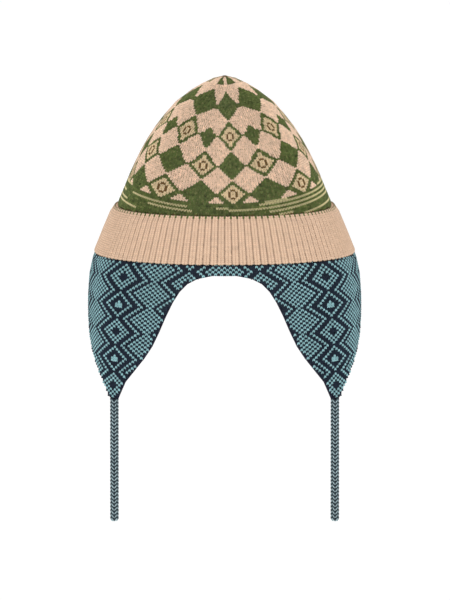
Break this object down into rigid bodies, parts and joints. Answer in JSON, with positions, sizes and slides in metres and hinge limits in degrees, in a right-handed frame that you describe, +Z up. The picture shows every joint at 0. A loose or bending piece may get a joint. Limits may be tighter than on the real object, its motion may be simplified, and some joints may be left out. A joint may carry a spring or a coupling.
{
  "type": "knitted ear flap hat",
  "caption": "Knitted wool hat with a pointed patterned crown, a flared ribbed cuff, a patterned ear band with ear flaps, and hanging knitted ties.",
  "frame": {"origin": "middle of the crown's lower edge, where the head that wears the hat fills it", "axes": "+Z up to the crown's point, -Y the front of the hat, +X the right side of the front view"},
  "size_m": [0.222, 0.2358, 0.3589],
  "materials": {
    "crown_knit": "matte wool knit in green and sand jacquard",
    "cuff_knit": "matte wool rib in sand",
    "band_knit": "matte wool knit in pale teal and navy jacquard",
    "tie_knit": "matte knitted wool cord in pale teal and navy"
  },
  "bodies": {
    "root": {"crown_lower": "crown_knit", "crown_middle": "crown_knit", "crown_upper": "crown_knit", "cuff": "cuff_knit", "ear_band": "band_knit", "tie_left": "tie_knit", "tie_right": "tie_knit"}
  },
  "joints": []
}
